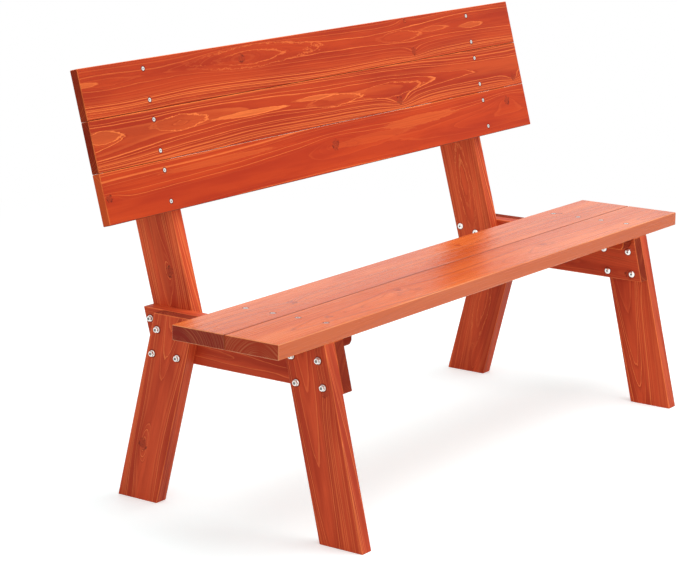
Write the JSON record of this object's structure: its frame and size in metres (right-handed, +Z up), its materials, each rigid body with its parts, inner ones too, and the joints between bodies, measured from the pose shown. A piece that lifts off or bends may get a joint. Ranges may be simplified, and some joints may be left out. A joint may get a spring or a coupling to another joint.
{
  "type": "convertible picnic table bench",
  "caption": "Slatted timber garden bench whose backrest turns over on pivot bolts and rests level behind the seat as a table top, held by a lock pin on a chain.",
  "frame": {"origin": "floor level, in the middle of the bench's length and depth with the backrest up", "axes": "+X along the seat to the end without the lock pin, +Y from the sitter's toes to the backrest, +Z up"},
  "size_m": [1.55, 0.6786, 0.8916],
  "materials": {
    "back_timber": "red-orange stain on planed softwood",
    "seat_timber": "red-orange stain on planed softwood",
    "frame_timber": "red-orange stain on planed softwood",
    "screw_steel": "zinc plated",
    "bolt_steel": "zinc plated",
    "chain_steel": "zinc plated"
  },
  "bodies": {
    "frame": {"back_post_left": "frame_timber", "back_post_right": "frame_timber", "crosspiece_left": "frame_timber", "crosspiece_right": "frame_timber", "frame_bolts_left": "bolt_steel", "frame_bolts_right": "bolt_steel", "frame_nuts_left": "bolt_steel", "frame_nuts_right": "bolt_steel", "frame_washers_left": "bolt_steel", "frame_washers_right": "bolt_steel", "front_leg_left": "frame_timber", "front_leg_right": "frame_timber", "pivot_bolt_left": "bolt_steel", "pivot_bolt_right": "bolt_steel", "pivot_nut_left": "bolt_steel", "pivot_nut_right": "bolt_steel", "pivot_washer_left": "bolt_steel", "pivot_washer_right": "bolt_steel", "rear_leg_left": "frame_timber", "rear_leg_right": "frame_timber", "seat_batten_left": "seat_timber", "seat_batten_right": "seat_timber", "seat_batten_screws_left": "screw_steel", "seat_batten_screws_right": "screw_steel", "seat_board_front": "seat_timber", "seat_board_rear": "seat_timber", "seat_screws_left": "screw_steel", "seat_screws_right": "screw_steel"},
    "back": {"back_board_lower": "back_timber", "back_board_middle": "back_timber", "back_board_upper": "back_timber", "back_cleat_left": "frame_timber", "back_cleat_right": "frame_timber", "back_screws_left": "screw_steel", "back_screws_right": "screw_steel", "end_batten_left": "back_timber", "end_batten_right": "back_timber", "end_batten_screws_left": "screw_steel", "end_batten_screws_right": "screw_steel", "screw_eye": "chain_steel"},
    "lock_pin": {"lock_pin": "chain_steel"},
    "chain_1": {"lock_chain_1": "chain_steel"},
    "chain_2": {"lock_chain_2": "chain_steel"},
    "chain_3": {"lock_chain_3": "chain_steel"},
    "chain_4": {"lock_chain_4": "chain_steel"},
    "chain_5": {"lock_chain_5": "chain_steel"},
    "chain_6": {"lock_chain_6": "chain_steel"},
    "chain_7": {"lock_chain_7": "chain_steel"},
    "chain_8": {"lock_chain_8": "chain_steel"}
  },
  "joints": [
    {"name": "back_flip", "type": "hinge", "parent": "frame", "child": "back", "pos_m": [0, 0.23973, 0.6886], "axis": [-1, 0, 0], "range_deg": [0, 75]},
    {"name": "lock_pin_slide", "type": "slide", "parent": "back", "child": "lock_pin", "axis": [1, 0, 0], "range_m": [0, 0.02155]},
    {"name": "chain_swing", "type": "hinge", "parent": "back", "child": "chain_1", "pos_m": [-0.6135, 0.28488, 0.80881], "axis": [0, -0.9659, 0.2588], "range_deg": [-0.5, 12.01]},
    {"name": "chain_bend_2", "type": "hinge", "parent": "chain_1", "child": "chain_2", "pos_m": [-0.61481, 0.28957, 0.80088], "axis": [-0.9799, 0.0517, 0.1928], "range_deg": [-52.76, 0]},
    {"name": "chain_bend_3", "type": "hinge", "parent": "chain_2", "child": "chain_3", "pos_m": [-0.6266, 0.29683, 0.73901], "axis": [-0.9799, 0.0517, 0.1928], "range_deg": [0, 52.48]},
    {"name": "chain_bend_4", "type": "hinge", "parent": "chain_3", "child": "chain_4", "pos_m": [-0.63272, 0.30369, 0.70607], "axis": [-0.9799, 0.0517, 0.1928], "range_deg": [0, 19.45]},
    {"name": "chain_bend_5", "type": "hinge", "parent": "chain_4", "child": "chain_5", "pos_m": [-0.63704, 0.30905, 0.68266], "axis": [-0.9799, 0.0517, 0.1928], "range_deg": [0, 5.6]},
    {"name": "chain_bend_6", "type": "hinge", "parent": "chain_5", "child": "chain_6", "pos_m": [-0.63978, 0.31047, 0.66839], "axis": [-0.9799, 0.0517, 0.1928], "range_deg": [-27.49, 0]},
    {"name": "chain_bend_7", "type": "hinge", "parent": "chain_6", "child": "chain_7", "pos_m": [-0.64135, 0.30284, 0.66244], "axis": [-0.9799, 0.0517, 0.1928], "range_deg": [-24.26, 0]},
    {"name": "chain_bend_8", "type": "hinge", "parent": "chain_7", "child": "chain_8", "pos_m": [-0.64106, 0.28918, 0.66759], "axis": [-0.9799, 0.0517, 0.1928], "range_deg": [-50.02, 0]}
  ],
  "couplings": [
    {"joint": "chain_swing", "follows": "lock_pin_slide", "rad_per_m": 9.3242},
    {"joint": "chain_bend_2", "follows": "back_flip", "ratio": -0.69014},
    {"joint": "chain_bend_3", "follows": "back_flip", "ratio": 0.68634},
    {"joint": "chain_bend_4", "follows": "back_flip", "ratio": 0.24595},
    {"joint": "chain_bend_5", "follows": "back_flip", "ratio": 0.06139},
    {"joint": "chain_bend_6", "follows": "back_flip", "ratio": -0.35317},
    {"joint": "chain_bend_7", "follows": "back_flip", "ratio": -0.31007},
    {"joint": "chain_bend_8", "follows": "back_flip", "ratio": -0.65354}
  ]
}
